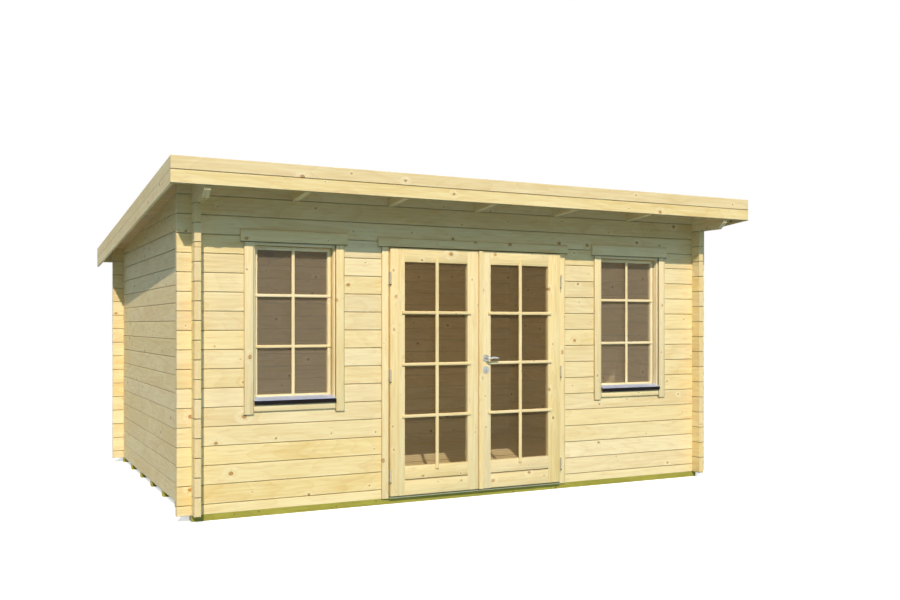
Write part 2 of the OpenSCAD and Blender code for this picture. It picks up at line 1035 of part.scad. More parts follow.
// Lever on both faces, joined by a square spindle
module door_lever() {
    color("silver")
        on_site()
            translate([lever_x, 0, lever_z]) {
                translate([0, leaf_front, 0])
                    lever_bar();
                translate([0, leaf_back, 0])
                    mirror([0, 1, 0])
                        lever_bar();
                block(
                    [-spindle / 2, leaf_front - cut, -spindle / 2],
                    [spindle / 2, leaf_back + cut, spindle / 2]
                );
            }
}

foundation_joists();
floor();
front_wall_low_left();
front_wall_low_right();
front_wall_corner_left();
front_wall_corner_right();
front_wall_pier_left();
front_wall_pier_right();
front_wall_top();
back_wall();
left_wall();
right_wall();
rafters();
roof_boards();
roofing_felt();
front_fascia();
left_bargeboard();
right_bargeboard();
eaves_board();
window_frame_left();
window_frame_right();
window_sash_left();
window_sash_right();
window_glass_left();
window_glass_right();
window_sill_left();
window_sill_right();
window_trim_left();
window_trim_right();
door_frame();
door_trim();
door_threshold();
door_leaf_left();
door_leaf_right();
door_glass_left();
door_glass_right();
door_cover_strip();
hinge_pins_left();
hinge_pins_right();
hinge_knuckles_left();
hinge_knuckles_right();
lock_plates();
lock_cylinder();
door_lever();
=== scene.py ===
"""Looks of the log garden house: finishes for its logs and boards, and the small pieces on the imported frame.

Sizes are in metres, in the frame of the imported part: +X to the right along the front, +Y to the back, +Z up.
"""

import math
import random

import bmesh
import bpy
from mathutils import Matrix, Vector


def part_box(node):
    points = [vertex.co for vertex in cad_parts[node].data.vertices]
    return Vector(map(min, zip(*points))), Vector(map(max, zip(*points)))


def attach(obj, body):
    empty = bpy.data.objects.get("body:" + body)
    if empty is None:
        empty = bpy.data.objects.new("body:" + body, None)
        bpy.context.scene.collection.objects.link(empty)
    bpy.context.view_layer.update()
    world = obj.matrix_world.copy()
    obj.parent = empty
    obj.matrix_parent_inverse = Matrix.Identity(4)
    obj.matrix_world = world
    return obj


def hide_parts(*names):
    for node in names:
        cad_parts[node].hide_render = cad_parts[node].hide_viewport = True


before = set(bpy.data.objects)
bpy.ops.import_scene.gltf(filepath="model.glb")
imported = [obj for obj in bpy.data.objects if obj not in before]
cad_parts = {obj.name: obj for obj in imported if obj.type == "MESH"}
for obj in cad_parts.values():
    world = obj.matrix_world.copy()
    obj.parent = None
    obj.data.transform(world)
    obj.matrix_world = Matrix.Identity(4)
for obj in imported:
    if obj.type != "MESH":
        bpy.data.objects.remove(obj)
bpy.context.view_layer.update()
rng = random.Random(7)

# ---- Sizes that the frame doesn't give ----

COURSE = 0.135          # height of one course of logs
FIT = 0.0004            # gap left where wood fits into wood
EDGE = 0.0015           # wear on the edges of a board
TRIM_WEAR = 0.003       # rounding on the edges of a trim board
PACKED_WEAR = 0.002     # wear on the edges of packed joists, rafters and eaves
SHEET_WEAR = 0.001      # the same on the threshold
GLASS_GRIP = 0.0086     # how far the glass goes into its groove
FELT_T = 0.003          # thickness of the roofing felt
KNUCKLE_R = 0.0065      # radius of a hinge knuckle
HINGE_MID = 0.918       # middle hinge above the leaf's bottom
HINGE_H = 0.090         # height of a hinge

joist_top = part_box("foundation_joists")[1].z
wall_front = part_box("front_wall_low_left")[0].y
felt_low, felt_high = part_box("roofing_felt")
SLOPE = (felt_high.z - felt_low.z - FELT_T) / (felt_high.y - felt_low.y)


# ---- Meshes ----

AXES = {"x": 0, "y": 1, "z": 2}


def prism(points, axis, start, end):
    """A bmesh: an outline in the two other axes, in x, y, z order, drawn out along an axis."""
    bm = bmesh.new()
    k = AXES[axis]
    a, b = [i for i in range(3) if i != k]
    rings = []
    for place in (start, end):
        ring = []
        for p in points:
            co = [0.0, 0.0, 0.0]
            co[a], co[b], co[k] = p[0], p[1], place
            ring.append(bm.verts.new(co))
        rings.append(ring)
    count = len(points)
    for i in range(count):
        j = (i + 1) % count
        bm.faces.new((rings[0][i], rings[0][j], rings[1][j], rings[1][i]))
    for ring in rings:
        bm.faces.new(ring)
    bmesh.ops.recalc_face_normals(bm, faces=bm.faces)
    return bm


def slab(low, high, wear=EDGE):
    """A box between two corners, as a bmesh with worn edges."""
    bm = prism([(low[0], low[1]), (high[0], low[1]), (high[0], high[1]), (low[0], high[1])],
               "z", low[2], high[2])
    if wear:
        bmesh.ops.bevel(bm, geom=bm.edges[:], offset=wear, segments=2, profile=0.5, affect="EDGES")
    return bm


def lathe(profile, sides=40):
    """A surface of revolution about z, from (radius, height) points; a radius of 0 closes an end."""
    bm = bmesh.new()
    rings = []
    for radius, height in profile:
        if radius == 0:
            rings.append([bm.verts.new((0, 0, height))])
            continue
        turns = [2 * math.pi * i / sides for i in range(sides)]
        rings.append([bm.verts.new((radius * math.cos(t), radius * math.sin(t), height)) for t in turns])
    for lower, upper in zip(rings, rings[1:]):
        for i in range(sides):
            j = (i + 1) % sides
            if len(lower) == 1:
                bm.faces.new((lower[0], upper[j], upper[i]))
            elif len(upper) == 1:
                bm.faces.new((lower[i], lower[j], upper[0]))
            else:
                bm.faces.new((lower[i], lower[j], upper[j], upper[i]))
    bmesh.ops.recalc_face_normals(bm, faces=bm.faces)
    return bm


def sweep(stations, sides=20):
    """A closed bar through (centre, half width, half height) stations, with oval sections."""
    bm = bmesh.new()
    rings = []
    count = len(stations)
    for i, (centre, wide, tall) in enumerate(stations):
        ahead = stations[min(i + 1, count - 1)][0] - stations[max(i - 1, 0)][0]
        side = Vector((0, 0, 1)).cross(ahead).normalized()
        up = ahead.normalized().cross(side)
        turns = [2 * math.pi * j / sides for j in range(sides)]
        rings.append([bm.verts.new(centre + side * wide * math.cos(t) + up * tall * math.sin(t))
                      for t in turns])
    for lower, upper in zip(rings, rings[1:]):
        for i in range(sides):
            j = (i + 1) % sides
            bm.faces.new((lower[i], lower[j], upper[j], upper[i]))
    bm.faces.new(rings[0])
    bm.faces.new(rings[-1])
    bmesh.ops.recalc_face_normals(bm, faces=bm.faces)
    return bm


class Piece:
    """Shapes joined in one mesh. Each shape has a number and grain coordinates of its own."""

    def __init__(self):
        self.bm = bmesh.new()
        layers = self.bm.verts.layers
        self.grain = layers.float_vector.new("grain")
        self.fibre = layers.float_vector.new("fibre")
        self.number = layers.float.new("board")
        self.edges = layers.float_vector.new("edges")

    def add(self, shape, along="x", material=0, matrix=None, joints=(0, 0), deep=None):
        """Takes a bmesh whose grain runs along an axis. joints paint shade along its low and high long edges.

        deep names the axis of its thickness, if that isn't the thinnest one.
        """
        if matrix is not None:
            shape.transform(matrix)
        mesh = bpy.data.meshes.new("part")
        shape.to_mesh(mesh)
        shape.free()
        known = len(self.bm.verts)
        known_faces = len(self.bm.faces)
        self.bm.from_mesh(mesh)
        bpy.data.meshes.remove(mesh)
        self.bm.verts.ensure_lookup_table()
        self.bm.faces.ensure_lookup_table()
        verts = self.bm.verts[known:]
        low = [min(v.co[i] for v in verts) for i in range(3)]
        size = [max(v.co[i] for v in verts) - low[i] for i in range(3)]
        k = AXES[along]
        across, thin = sorted((i for i in range(3) if i != k), key=lambda i: -size[i])
        if deep and AXES[deep] == across:
            across, thin = thin, across
        start = rng.uniform(0, 20)
        number = rng.uniform(0, 500)
        fibre = Vector((k == 0, k == 1, k == 2))
        for v in verts:
            p = [v.co[i] - low[i] for i in range(3)]
            v[self.grain] = Vector((start + p[k], p[across], p[thin]))
            v[self.fibre] = fibre
            v[self.number] = number
            v[self.edges] = Vector((joints[0], joints[1], size[across]))
        for face in self.bm.faces[known_faces:]:
            face.material_index = material
        return self

    def finish(self, name, body, slot, materials, replaces=()):
        """Makes the object, rides it on its body and hides the imported nodes that it replaces."""
        mesh = bpy.data.meshes.new(name)
        for face in self.bm.faces:
            face.smooth = True
        self.bm.to_mesh(mesh)
        self.bm.free()
        mesh.set_sharp_from_angle(angle=math.radians(32))
        for material in materials:
            mesh.materials.append(material)
        obj = bpy.data.objects.new(name, mesh)
        bpy.context.scene.collection.objects.link(obj)
        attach(obj, body)
        if replaces:
            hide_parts(*replaces)
        return obj


# ---- Materials ----


def srgb(red, green, blue):
    """A colour given as it looks on a screen, from 0 to 255, as a linear one."""
    def linear(c):
        c /= 255
        return c / 12.92 if c <= 0.04045 else ((c + 0.055) / 1.055) ** 2.4
    return linear(red), linear(green), linear(blue), 1.0


class Shader:
    """The node tree of a material or the world, built by short calls. A socket as a value is linked."""

    def __init__(self, name, owner=None):
        self.material = owner or bpy.data.materials.new(name)
        self.material.use_nodes = True
        self.tree = self.material.node_tree
        self.tree.nodes.clear()

    def put(self, socket, value):
        if isinstance(value, bpy.types.NodeSocket):
            self.tree.links.new(value, socket)
        elif value is not None:
            socket.default_value = value

    def node(self, kind, inputs=None, **settings):
        node = self.tree.nodes.new(kind)
        for key, value in settings.items():
            setattr(node, key, value)
        for key, value in (inputs or {}).items():
            self.put(node.inputs[key], value)
        return node

    def math(self, operation, *values):
        return self.node("ShaderNodeMath", dict(enumerate(values)), operation=operation).outputs[0]

    def add(self, a, b):
        return self.math("ADD", a, b)

    def times(self, a, b):
        return self.math("MULTIPLY", a, b)

    def vector(self, x, y, z):
        return self.node("ShaderNodeCombineXYZ", {0: x, 1: y, 2: z}).outputs[0]

    def split(self, vector):
        return self.node("ShaderNodeSeparateXYZ", {0: vector}).outputs[:]

    def mix(self, factor, a, b):
        node = self.node("ShaderNodeMix", data_type="RGBA")
        self.put(node.inputs[0], factor)
        self.put(node.inputs[6], a)
        self.put(node.inputs[7], b)
        return node.outputs[2]

    def noise(self, vector, scale=1.0, detail=2.0, rough=0.5):
        inputs = {"Vector": vector, "Scale": scale, "Detail": detail, "Roughness": rough}
        return self.node("ShaderNodeTexNoise", inputs).outputs["Fac"]

    def chance(self, x, y=0.0):
        """Three numbers from 0 to 1 that depend on two others."""
        vector = self.vector(x, y, 0.0)
        node = self.node("ShaderNodeTexWhiteNoise", {"Vector": vector}, noise_dimensions="3D")
        return self.split(node.outputs["Color"])

    def fade(self, value, start, end):
        """From 0 where value is start to 1 where it is end, smoothly."""
        node = self.node("ShaderNodeMapRange", {0: value, 1: start, 2: end}, interpolation_type="SMOOTHSTEP")
        return node.outputs[0]

    def bump(self, height, distance, strength=1.0):
        inputs = {"Height": height, "Distance": distance, "Strength": strength}
        return self.node("ShaderNodeBump", inputs).outputs[0]

    def surface(self, colour, roughness, normal=None, **sockets):
        inputs = {"Base Color": colour, "Roughness": roughness}
        inputs.update({key.replace("_", " "): value for key, value in sockets.items()})
        shader = self.node("ShaderNodeBsdfPrincipled", inputs)
        self.put(shader.inputs["Normal"], normal)
        self.node("ShaderNodeOutputMaterial", {0: shader.outputs[0]})
        return self.material


def row_grain(s, along, height, base, rise=0.0, pitch=None, start=0.0, joints=(0.0, 0.0)):
    """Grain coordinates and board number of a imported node, whose boards lie in rows."""
    coordinates = s.node("ShaderNodeTexCoord").outputs
    xyz = s.split(coordinates["Object"])
    normal = s.split(coordinates["Normal"])
    up = s.math("MULTIPLY_ADD", xyz[1], rise, s.add(xyz[2], -base))
    row = s.math("FLOOR", s.math("DIVIDE", up, height))
    across = s.math("MULTIPLY_ADD", row, -height, up)
    deep = xyz[1 if along == "x" else 0]
    if pitch:
        column = s.math("FLOOR", s.math("DIVIDE", s.add(deep, -start), pitch))
        deep = s.math("MULTIPLY_ADD", column, -pitch, s.add(deep, -start))
        row = s.math("MULTIPLY_ADD", column, 37.0, row)
    own = s.node("ShaderNodeObjectInfo").outputs["Random"]
    number = s.math("MULTIPLY_ADD", own, 91.0, row)
    end = s.fade(s.math("ABSOLUTE", normal[AXES[along]]), 0.6, 0.9)
    return xyz[AXES[along]], across, deep, number, end, joints + (height,)


def own_grain(s):
    """Grain coordinates and board number that a Piece holds."""
    grain = s.split(s.node("ShaderNodeAttribute", attribute_name="grain").outputs["Vector"])
    number = s.node("ShaderNodeAttribute", attribute_name="board").outputs["Fac"]
    fibre = s.node("ShaderNodeAttribute", attribute_name="fibre").outputs["Vector"]
    normal = s.node("ShaderNodeTexCoord").outputs["Normal"]
    dot = s.node("ShaderNodeVectorMath", {0: fibre, 1: normal}, operation="DOT_PRODUCT").outputs["Value"]
    end = s.fade(s.math("ABSOLUTE", dot), 0.6, 0.9)
    edges = s.split(s.node("ShaderNodeAttribute", attribute_name="edges").outputs["Vector"])
    return grain[0], grain[1], grain[2], number, end, edges


PALE = srgb(253, 236, 186)
WARM = srgb(231, 202, 138)
BEIGE = srgb(234, 202, 152)
FLAME = srgb(255, 243, 204)
KNOT = srgb(190, 138, 80)
KNOT_RIM = srgb(140, 94, 48)
END_GRAIN = srgb(245, 217, 157)
# colour of the painted shade in the joints between boards; JOINT_START and JOINT_FULL say where it starts and
# is darkest
JOINT_SHADE = srgb(84, 64, 32)
ROUNDED = 0.006         # width of the rounding beside a joint
JOINT_START = 0.0042    # where the dark of a joint starts, from the board's edge
JOINT_FULL = 0.0018     # where it is darkest
YEARS = 330.0           # growth rings in a metre
BUMP = 0.0004           # height of the grain


def wood(name, grain, wide=COURSE, pale=PALE, warm=WARM, blotch=BEIGE, flame=FLAME, knot=KNOT, rim=KNOT_RIM,
         knots=0.6, knot_run=0.42):
    """Spruce: growth rings round a pith, streaks, knots that bend the grain, and warm end grain.

    grain(shader) gives the coordinates along, across and into the board, its number, how much
    end grain shows, and for its long edges how dark the painted shade along them is and how far apart
    they are. wide is the
    width that knots spread over, knots is the chance of one in each knot_run of length, and
    flame is the colour of the light streaks beside them.
    """
    s = Shader(name)
    along, across, deep, number, end, (low_joint, high_joint, board) = grain(s)
    r1, r2, r3 = s.chance(number)
    q1, q2, q3 = s.chance(number, 5.0)

    # One knot may sit in each stretch of the board
    shifted = s.math("MULTIPLY_ADD", r1, 7.0, s.math("DIVIDE", along, knot_run))
    cell = s.math("FLOOR", shifted)
    k1, k2, k3 = s.chance(cell, number)
    m1 = s.chance(cell, s.add(number, 9.0))[0]
    from_cell = s.math("FRACT", shifted)
    off_along = s.times(s.add(from_cell, s.math("MULTIPLY_ADD", k1, -0.6, -0.2)), knot_run)
    off_across = s.add(across, s.times(s.math("MULTIPLY_ADD", k2, 0.84, 0.08), -wide))
    wobble = s.noise(s.vector(along, across, number), 60.0, 1.0)
    flat = s.math("SQRT", s.add(s.math("POWER", s.times(off_along, 0.78), 2.0),
                                s.math("POWER", off_across, 2.0)))
    distance = s.math("MULTIPLY_ADD", s.add(wobble, -0.5), 0.006, flat)
    shown = s.math("LESS_THAN", m1, knots)
    size = s.times(s.math("MULTIPLY_ADD", s.times(k3, k3), 0.010, 0.0035), shown)
    inside = s.fade(distance, s.times(size, 1.12), s.times(size, 0.86))
    core = s.fade(distance, s.times(size, 0.95), s.times(size, 0.55))
    halo = s.times(s.fade(distance, s.math("MULTIPLY_ADD", size, 4.5, 0.0001), size), shown)
    glow = s.times(s.fade(s.math("ABSOLUTE", s.math("MULTIPLY_ADD", size, -2.6, distance)),
                          s.math("MULTIPLY_ADD", size, 2.2, 0.0001), 0.0), shown)

    # Rings round a pith that wanders beside the board
    drift = s.noise(s.vector(s.times(along, 0.7), s.times(across, 3.0), number), 1.0, 2.0)
    pith_across = s.times(s.math("MULTIPLY_ADD", q1, 1.1, -0.05), wide)
    lean = s.times(s.add(q2, -0.5), 0.03)
    pith_deep = s.add(s.math("MULTIPLY_ADD", r2, 0.12, -0.04), s.times(lean, along))
    ring_x = s.add(s.math("MULTIPLY_ADD", s.add(drift, -0.5), 0.05, across), s.times(pith_across, -1.0))
    ring_y = s.add(s.math("MULTIPLY_ADD", s.add(drift, -0.5), -0.04, deep), s.times(pith_deep, -1.0))
    radius = s.math("SQRT", s.add(s.math("POWER", ring_x, 2.0), s.math("POWER", ring_y, 2.0)))
    radius = s.math("MULTIPLY_ADD", halo, s.times(size, 1.3), radius)
    years = s.math("MULTIPLY_ADD", r3, 3.0, s.times(radius, YEARS))
    late = s.math("POWER", s.math("FRACT", years), 3.0)
    decades = s.noise(s.vector(s.times(radius, 95.0), number, 0.0), 1.0, 2.0, 0.65)

    # Streaks and blotches along the grain
    spread = s.vector(s.math("MULTIPLY_ADD", number, 3.7, s.times(along, 3.2)), s.times(across, 52.0),
                      s.times(deep, 52.0))
    streak = s.noise(spread, 1.0, 4.0, 0.62)
    patch = s.noise(s.vector(s.add(s.times(along, 2.4), number), s.times(across, 9.0), s.times(deep, 9.0)),
                    1.0, 2.0)
    fibre = s.noise(s.vector(s.times(along, 18.0), s.times(across, 620.0), s.times(deep, 620.0)), 1.0, 2.0)

    shade = s.math("MULTIPLY_ADD", late, 0.26, s.times(decades, 1.5))
    shade = s.math("MULTIPLY_ADD", streak, 1.5, shade)
    shade = s.math("MULTIPLY_ADD", patch, 0.5, shade)
    shade = s.math("MULTIPLY_ADD", fibre, 0.25, shade)
    tone = s.add(s.times(s.add(shade, -1.65), 0.85), s.times(s.add(q3, -0.5), 0.22))
    colour = s.mix(s.fade(tone, -0.35, 1.05), pale, warm)
    blush = s.noise(s.vector(s.math("MULTIPLY_ADD", number, 2.3, s.times(along, 5.5)), s.times(across, 26.0),
                             s.times(deep, 26.0)), 1.0, 3.0, 0.6)
    colour = s.mix(s.times(s.fade(blush, 0.52, 0.78), 0.65), colour, blotch)
    colour = s.mix(s.times(halo, 0.4), colour, warm)
    flamed = s.times(glow, s.fade(s.add(streak, s.times(wobble, 0.5)), 0.6, 0.95))
    colour = s.mix(s.times(flamed, 0.7), colour, flame)
    colour = s.mix(s.times(inside, 0.85), colour, knot)
    colour = s.mix(s.times(s.math("SUBTRACT", inside, core), 0.6), colour, rim)
    colour = s.mix(s.times(end, 0.45), colour, END_GRAIN)
    value = s.math("MULTIPLY_ADD", s.add(r3, -0.5), 0.05, 1.0)
    value = s.math("MULTIPLY_ADD", s.times(end, late), -0.12, value)
    saturation = s.math("MULTIPLY_ADD", r2, 0.16, 0.92)
    inputs = {"Color": colour, "Value": value, "Saturation": saturation}
    colour = s.node("ShaderNodeHueSaturation", inputs).outputs[0]

    # Long edges: painted shade in the joint along each, and a rounding that catches the light or turns from it
    from_high = s.math("SUBTRACT", board, across)
    low_shade_line = s.times(s.fade(across, JOINT_START, JOINT_FULL), low_joint)
    high_shade_line = s.times(s.fade(from_high, JOINT_START, JOINT_FULL), s.times(high_joint, 0.3))
    low_rise = s.times(s.math("MINIMUM", s.math("DIVIDE", across, ROUNDED), 1.0), low_joint)
    high_rise = s.times(s.math("MINIMUM", s.math("DIVIDE", from_high, ROUNDED), 1.0), high_joint)
    rounding = s.times(s.add(low_rise, high_rise), ROUNDED * 2.0)
    colour = s.mix(s.math("MAXIMUM", low_shade_line, high_shade_line), colour, JOINT_SHADE)

    roughness = s.add(s.times(fibre, 0.16), s.math("MULTIPLY_ADD", inside, -0.14, 0.52))
    height = s.add(s.times(late, 0.5), s.math("MULTIPLY_ADD", fibre, 0.6, s.times(streak, 0.8)))
    normal = s.bump(s.math("MULTIPLY_ADD", height, BUMP, rounding), 1.0)
    return s.surface(colour, roughness, normal, Specular_IOR_Level=0.3)


def glass(name, tint, share):
    """Window glass: mostly clear, with a faint film of dust and uneven sheen."""
    s = Shader(name)
    place = s.node("ShaderNodeTexCoord").outputs["Object"]
    film = s.noise(place, 3.0, 3.0, 0.6)
    colour = s.mix(s.times(film, 0.3), tint, srgb(150, 144, 120))
    wave = s.bump(s.noise(place, 5.0, 1.0), 0.0006)
    return s.surface(colour, s.math("MULTIPLY_ADD", film, 0.05, 0.015), wave, Alpha=share, IOR=1.5)


def metal(name, colour, roughness, brushed=(40.0, 40.0, 900.0), metallic=1.0, dust=0.25, shine=0.5):
    """Brushed or coated metal: fine lines one way, dull patches and a little grime."""
    s = Shader(name)
    place = s.node("ShaderNodeTexCoord").outputs["Object"]
    scaled = s.node("ShaderNodeVectorMath", {0: place, 1: brushed}, operation="MULTIPLY").outputs[0]
    lines = s.noise(scaled, 1.0, 2.0)
    dull = s.noise(place, 26.0, 3.0, 0.65)
    dark = tuple(c * 0.72 for c in colour[:3]) + (1.0,)
    tone = s.mix(s.times(s.fade(dull, 0.45, 0.75), dust), colour, dark)
    rough = s.add(s.times(lines, 0.14), s.math("MULTIPLY_ADD", dull, 0.16, roughness - 0.12))
    return s.surface(tone, rough, s.bump(lines, 0.00006), Metallic=metallic, Specular_IOR_Level=shine)


def felt(name):
    """Roofing felt: slate granules on bitumen, with paler and darker drifts."""
    s = Shader(name)
    place = s.node("ShaderNodeTexCoord").outputs["Object"]
    grit = s.node("ShaderNodeTexVoronoi", {"Vector": place, "Scale": 520.0})
    tone = s.split(grit.outputs["Color"])[0]
    drift = s.noise(place, 2.2, 4.0, 0.6)
    colour = s.mix(tone, srgb(74, 76, 78), srgb(118, 120, 120))
    colour = s.mix(s.times(drift, 0.5), colour, srgb(92, 90, 84))
    height = s.add(s.times(grit.outputs["Distance"], -1.0), s.times(drift, 0.4))
    return s.surface(colour, s.math("MULTIPLY_ADD", tone, 0.15, 0.8), s.bump(height, 0.0012))


def rows(along, height, base, **more):
    """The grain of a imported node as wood() takes it."""
    return lambda s: row_grain(s, along, height, base, **more)


GREEN_PALE = srgb(184, 176, 70)
GREEN_WARM = srgb(146, 142, 48)
green = dict(pale=GREEN_PALE, warm=GREEN_WARM, blotch=GREEN_WARM, flame=GREEN_PALE,
             knot=srgb(122, 104, 44), rim=srgb(92, 84, 36))
log_rows = rows("x", COURSE, joist_top - COURSE / 2, joints=(0.5, 0.2))
side_rows = rows("y", COURSE, joist_top, joints=(0.55, 0.2))
fascia_low, fascia_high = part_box("front_fascia")
verge_low, verge_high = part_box("left_bargeboard")
rafter_low, rafter_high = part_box("rafters")
joist_low, joist_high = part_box("foundation_joists")
eaves_low, eaves_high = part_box("eaves_board")
EDGE_BOARD = (fascia_high.z - fascia_low.z + FIT) / 2
RAFTERS = 5
RAFTER_W = 0.045
JOISTS = 7
JOIST_W = 0.070
rafter_pitch = (rafter_high.x - rafter_low.x - RAFTER_W) / (RAFTERS - 1)
joist_pitch = (joist_high.y - joist_low.y - JOIST_W) / (JOISTS - 1)
verge_base = verge_high.z + SLOPE * verge_low.y - 2 * EDGE_BOARD

front_logs = wood("front_logs", log_rows)
side_logs = wood("side_logs", side_rows)
fascia_rows = rows("x", EDGE_BOARD, fascia_low.z, joints=(0.5, 0.1))
fascia_wood = wood("fascia_wood", fascia_rows, wide=EDGE_BOARD)
verge_wood = wood("verge_wood", rows("y", EDGE_BOARD, verge_base, rise=SLOPE), wide=EDGE_BOARD)
eaves_wood = wood("eaves_wood", rows("x", 1.0, eaves_low.z), wide=eaves_high.z - eaves_low.z)
rafter_start = rafter_low.x - rafter_pitch / 2 + RAFTER_W / 2
rafter_rows = rows("y", 3.0, 1.0, rise=SLOPE, pitch=rafter_pitch, start=rafter_start)
rafter_wood = wood("rafter_wood", rafter_rows, wide=0.12)
joist_rows = rows("x", 1.0, 0.0, pitch=joist_pitch, start=joist_low.y)
joist_wood = wood("joist_wood", joist_rows, wide=0.045, **green)
joinery = wood("joinery", own_grain, wide=0.085, pale=srgb(254, 239, 196), warm=srgb(238, 212, 156),
               knots=0.35)
trim_wood = wood("trim_wood", own_grain, wide=0.07, knots=0.4, knot_run=0.3)
door_wood = wood("door_wood", own_grain, wide=0.11, knots=0.7, knot_run=0.24)
floor_wood = wood("floor_wood", own_grain, wide=0.11)
# the roof boards' colours are darker and browner than the other spruce: painted shade on their underside
roof_wood_shaded = wood("roof_wood_shaded", own_grain, wide=0.09, pale=srgb(228, 198, 142), warm=srgb(202, 162, 106))
window_glass = glass("window_glass", srgb(212, 193, 164), 0.15)
door_glass = glass("door_glass", srgb(200, 168, 116), 0.10)
steel = metal("steel", srgb(184, 190, 190), 0.46)
hinge_steel = metal("hinge_steel", srgb(186, 184, 170), 0.42)
# dark steel for the nails and the lock's foot, and painted shade for the keyhole and the hinges' bottom tips
dark_steel_and_painted_shade = metal("dark_steel_and_painted_shade", srgb(84, 76, 66), 0.5)
# the threshold's colour is darker and greener than bare aluminium: painted shade under the door leaves
aluminium = metal("aluminium", srgb(150, 158, 134), 0.5, brushed=(900.0, 40.0, 40.0), metallic=0.6)
sill_sheet = metal("sill_sheet", srgb(196, 207, 238), 0.4, metallic=0.35)
sill_lip = metal("sill_lip", srgb(18, 12, 15), 0.6, metallic=0.0, shine=0.15)
felt_top = felt("felt_top")


def dress(node, material, wear=0.0):
    """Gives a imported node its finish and, where asked, worn edges."""
    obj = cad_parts[node]
    for place in obj.material_slots:
        place.link = "OBJECT"
        place.material = material
    if wear:
        weld = obj.modifiers.new("weld", "WELD")
        weld.merge_threshold = 0.00001
        bevel = obj.modifiers.new("wear", "BEVEL")
        bevel.width = wear
        bevel.segments = 2
        bevel.limit_method = "ANGLE"


def dress_frame():
    """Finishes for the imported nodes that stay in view."""
    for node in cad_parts:
        if node.startswith(("front_wall", "back_wall")):
            dress(node, front_logs)
        if node.endswith("bargeboard"):
            dress(node, verge_wood)
    for node in ("left_wall", "right_wall"):
        dress(node, side_logs)
    for side in ("left", "right"):
        dress(f"window_glass_{side}", window_glass)
        dress(f"door_glass_{side}", door_glass)
        dress(f"hinge_pins_{side}", hinge_steel)
        dress(f"hinge_knuckles_{side}", hinge_steel)
    dress("foundation_joists", joist_wood, PACKED_WEAR)
    dress("rafters", rafter_wood, PACKED_WEAR)
    dress("front_fascia", fascia_wood)
    dress("eaves_board", eaves_wood, PACKED_WEAR)
    dress("door_threshold", aluminium, SHEET_WEAR)


# ---- Windows ----

LEVEL_BAR = 0.0226        # width of a window's level bars
UPRIGHT_BAR = 0.0245      # width of its upright bar
WINDOW_BARS = (1.166, 1.536)    # middles of its level bars above the joists
WINDOW_LAP = 0.021        # how far its level bars reach over the sash
FOOT_LAP = 0.013          # how far its upright bar reaches over the sash's foot
HEAD_LAP = 0.026          # how far that bar reaches over the sash's head
BAR_PROUD = 0.008         # how far bars stand in front of the wood that they lap
FRAME_T = 0.029           # thickness of the window frame's sides and foot
FRAME_HEAD = 0.061        # height of its head
SILL_T = 0.002            # thickness of the sill's sheet
CROSS = 0.0005            # how far an upright bar stands in front of the level bars


def rounded(centre, half, face, back, nose=0.3):
    """Outline of a moulded bar: flat back, and a face rounded towards face."""
    depth = abs(face - back)
    sign = 1 if face > back else -1
    step = min(half * nose * 2, depth * 0.8)
    turns = [math.pi / 2 * i / 4 for i in range(5)]
    one = [(centre + half - step * (1 - math.cos(t)), face - sign * step * (1 - math.sin(t))) for t in turns]
    other = [(2 * centre - p[0], p[1]) for p in reversed(one)]
    return [(centre + half, back)] + one + other + [(centre - half, back)]


def level_bar(piece, x0, x1, z, half, face, back):
    """A moulded bar along x, whose face looks to -y."""
    points = [(p[1], p[0]) for p in rounded(z, half, face, back)]
    piece.add(prism(points, "x", x0, x1), "x")


def upright_bar(piece, x, z0, z1, half, face, back):
    """The same along z."""
    points = rounded(x, half, face, back)
    piece.add(prism(points, "z", z0, z1), "z")


def ring_boards(piece, low, high, side, foot, head, rim=0.0):
    """Four boards round an opening: two full-height stiles and two rails between them, with painted shade
    along the rim.
    """
    piece.add(slab(low, (low[0] + side, high[1], high[2])), "z", joints=(rim, 0), deep="y")
    piece.add(slab((high[0] - side, low[1], low[2]), high), "z", joints=(0, rim), deep="y")
    piece.add(slab((low[0] + side, low[1], low[2]), (high[0] - side, high[1], low[2] + foot)), "x", deep="y")
    piece.add(slab((low[0] + side, low[1], high[2] - head), (high[0] - side, high[1], high[2])), "x",
              joints=(0, rim), deep="y")


def window(side):
    """Boards of the frame and the sash, the glazing bars, the trims and the sill."""
    low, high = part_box(f"window_frame_{side}")
    piece = Piece()
    ring_boards(piece, low, high, FRAME_T, FRAME_T, FRAME_HEAD)
    piece.finish(f"window_frame_boards_{side}", "house", "joinery_wood", [joinery], [f"window_frame_{side}"])

    low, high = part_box(f"window_sash_{side}")
    pane_low, pane_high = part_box(f"window_glass_{side}")
    x0, x1 = pane_low.x + GLASS_GRIP, pane_high.x - GLASS_GRIP
    z0, z1 = pane_low.z + GLASS_GRIP, pane_high.z - GLASS_GRIP
    middle = (x0 + x1) / 2
    piece = Piece()
    ring_boards(piece, low, high, x0 - low.x, z0 - low.z, high.z - z1, 0.9)
    proud = low.y - BAR_PROUD
    for z in WINDOW_BARS:
        level_bar(piece, x0 - WINDOW_LAP, x1 + WINDOW_LAP, joist_top + z, LEVEL_BAR / 2, proud, low.y)
    upright_bar(piece, middle, z0 - FOOT_LAP, z1 + HEAD_LAP, UPRIGHT_BAR / 2, proud - CROSS, low.y - CROSS)
    piece.finish(f"window_sash_boards_{side}", "house", "joinery_wood", [joinery], [f"window_sash_{side}"])

    window_trims(side)
    window_sill(side)


TRIM_W = 0.070            # width of a window's side trims
TRIM_TOP = 0.093          # height of its top trim
TRIM_OVER = 0.025         # reach of the top trim past the side trims
TRIM_FOOT = 0.021         # reach of the side trims below the trim under the sill
UNDER_TRIM = 0.043        # height of that trim


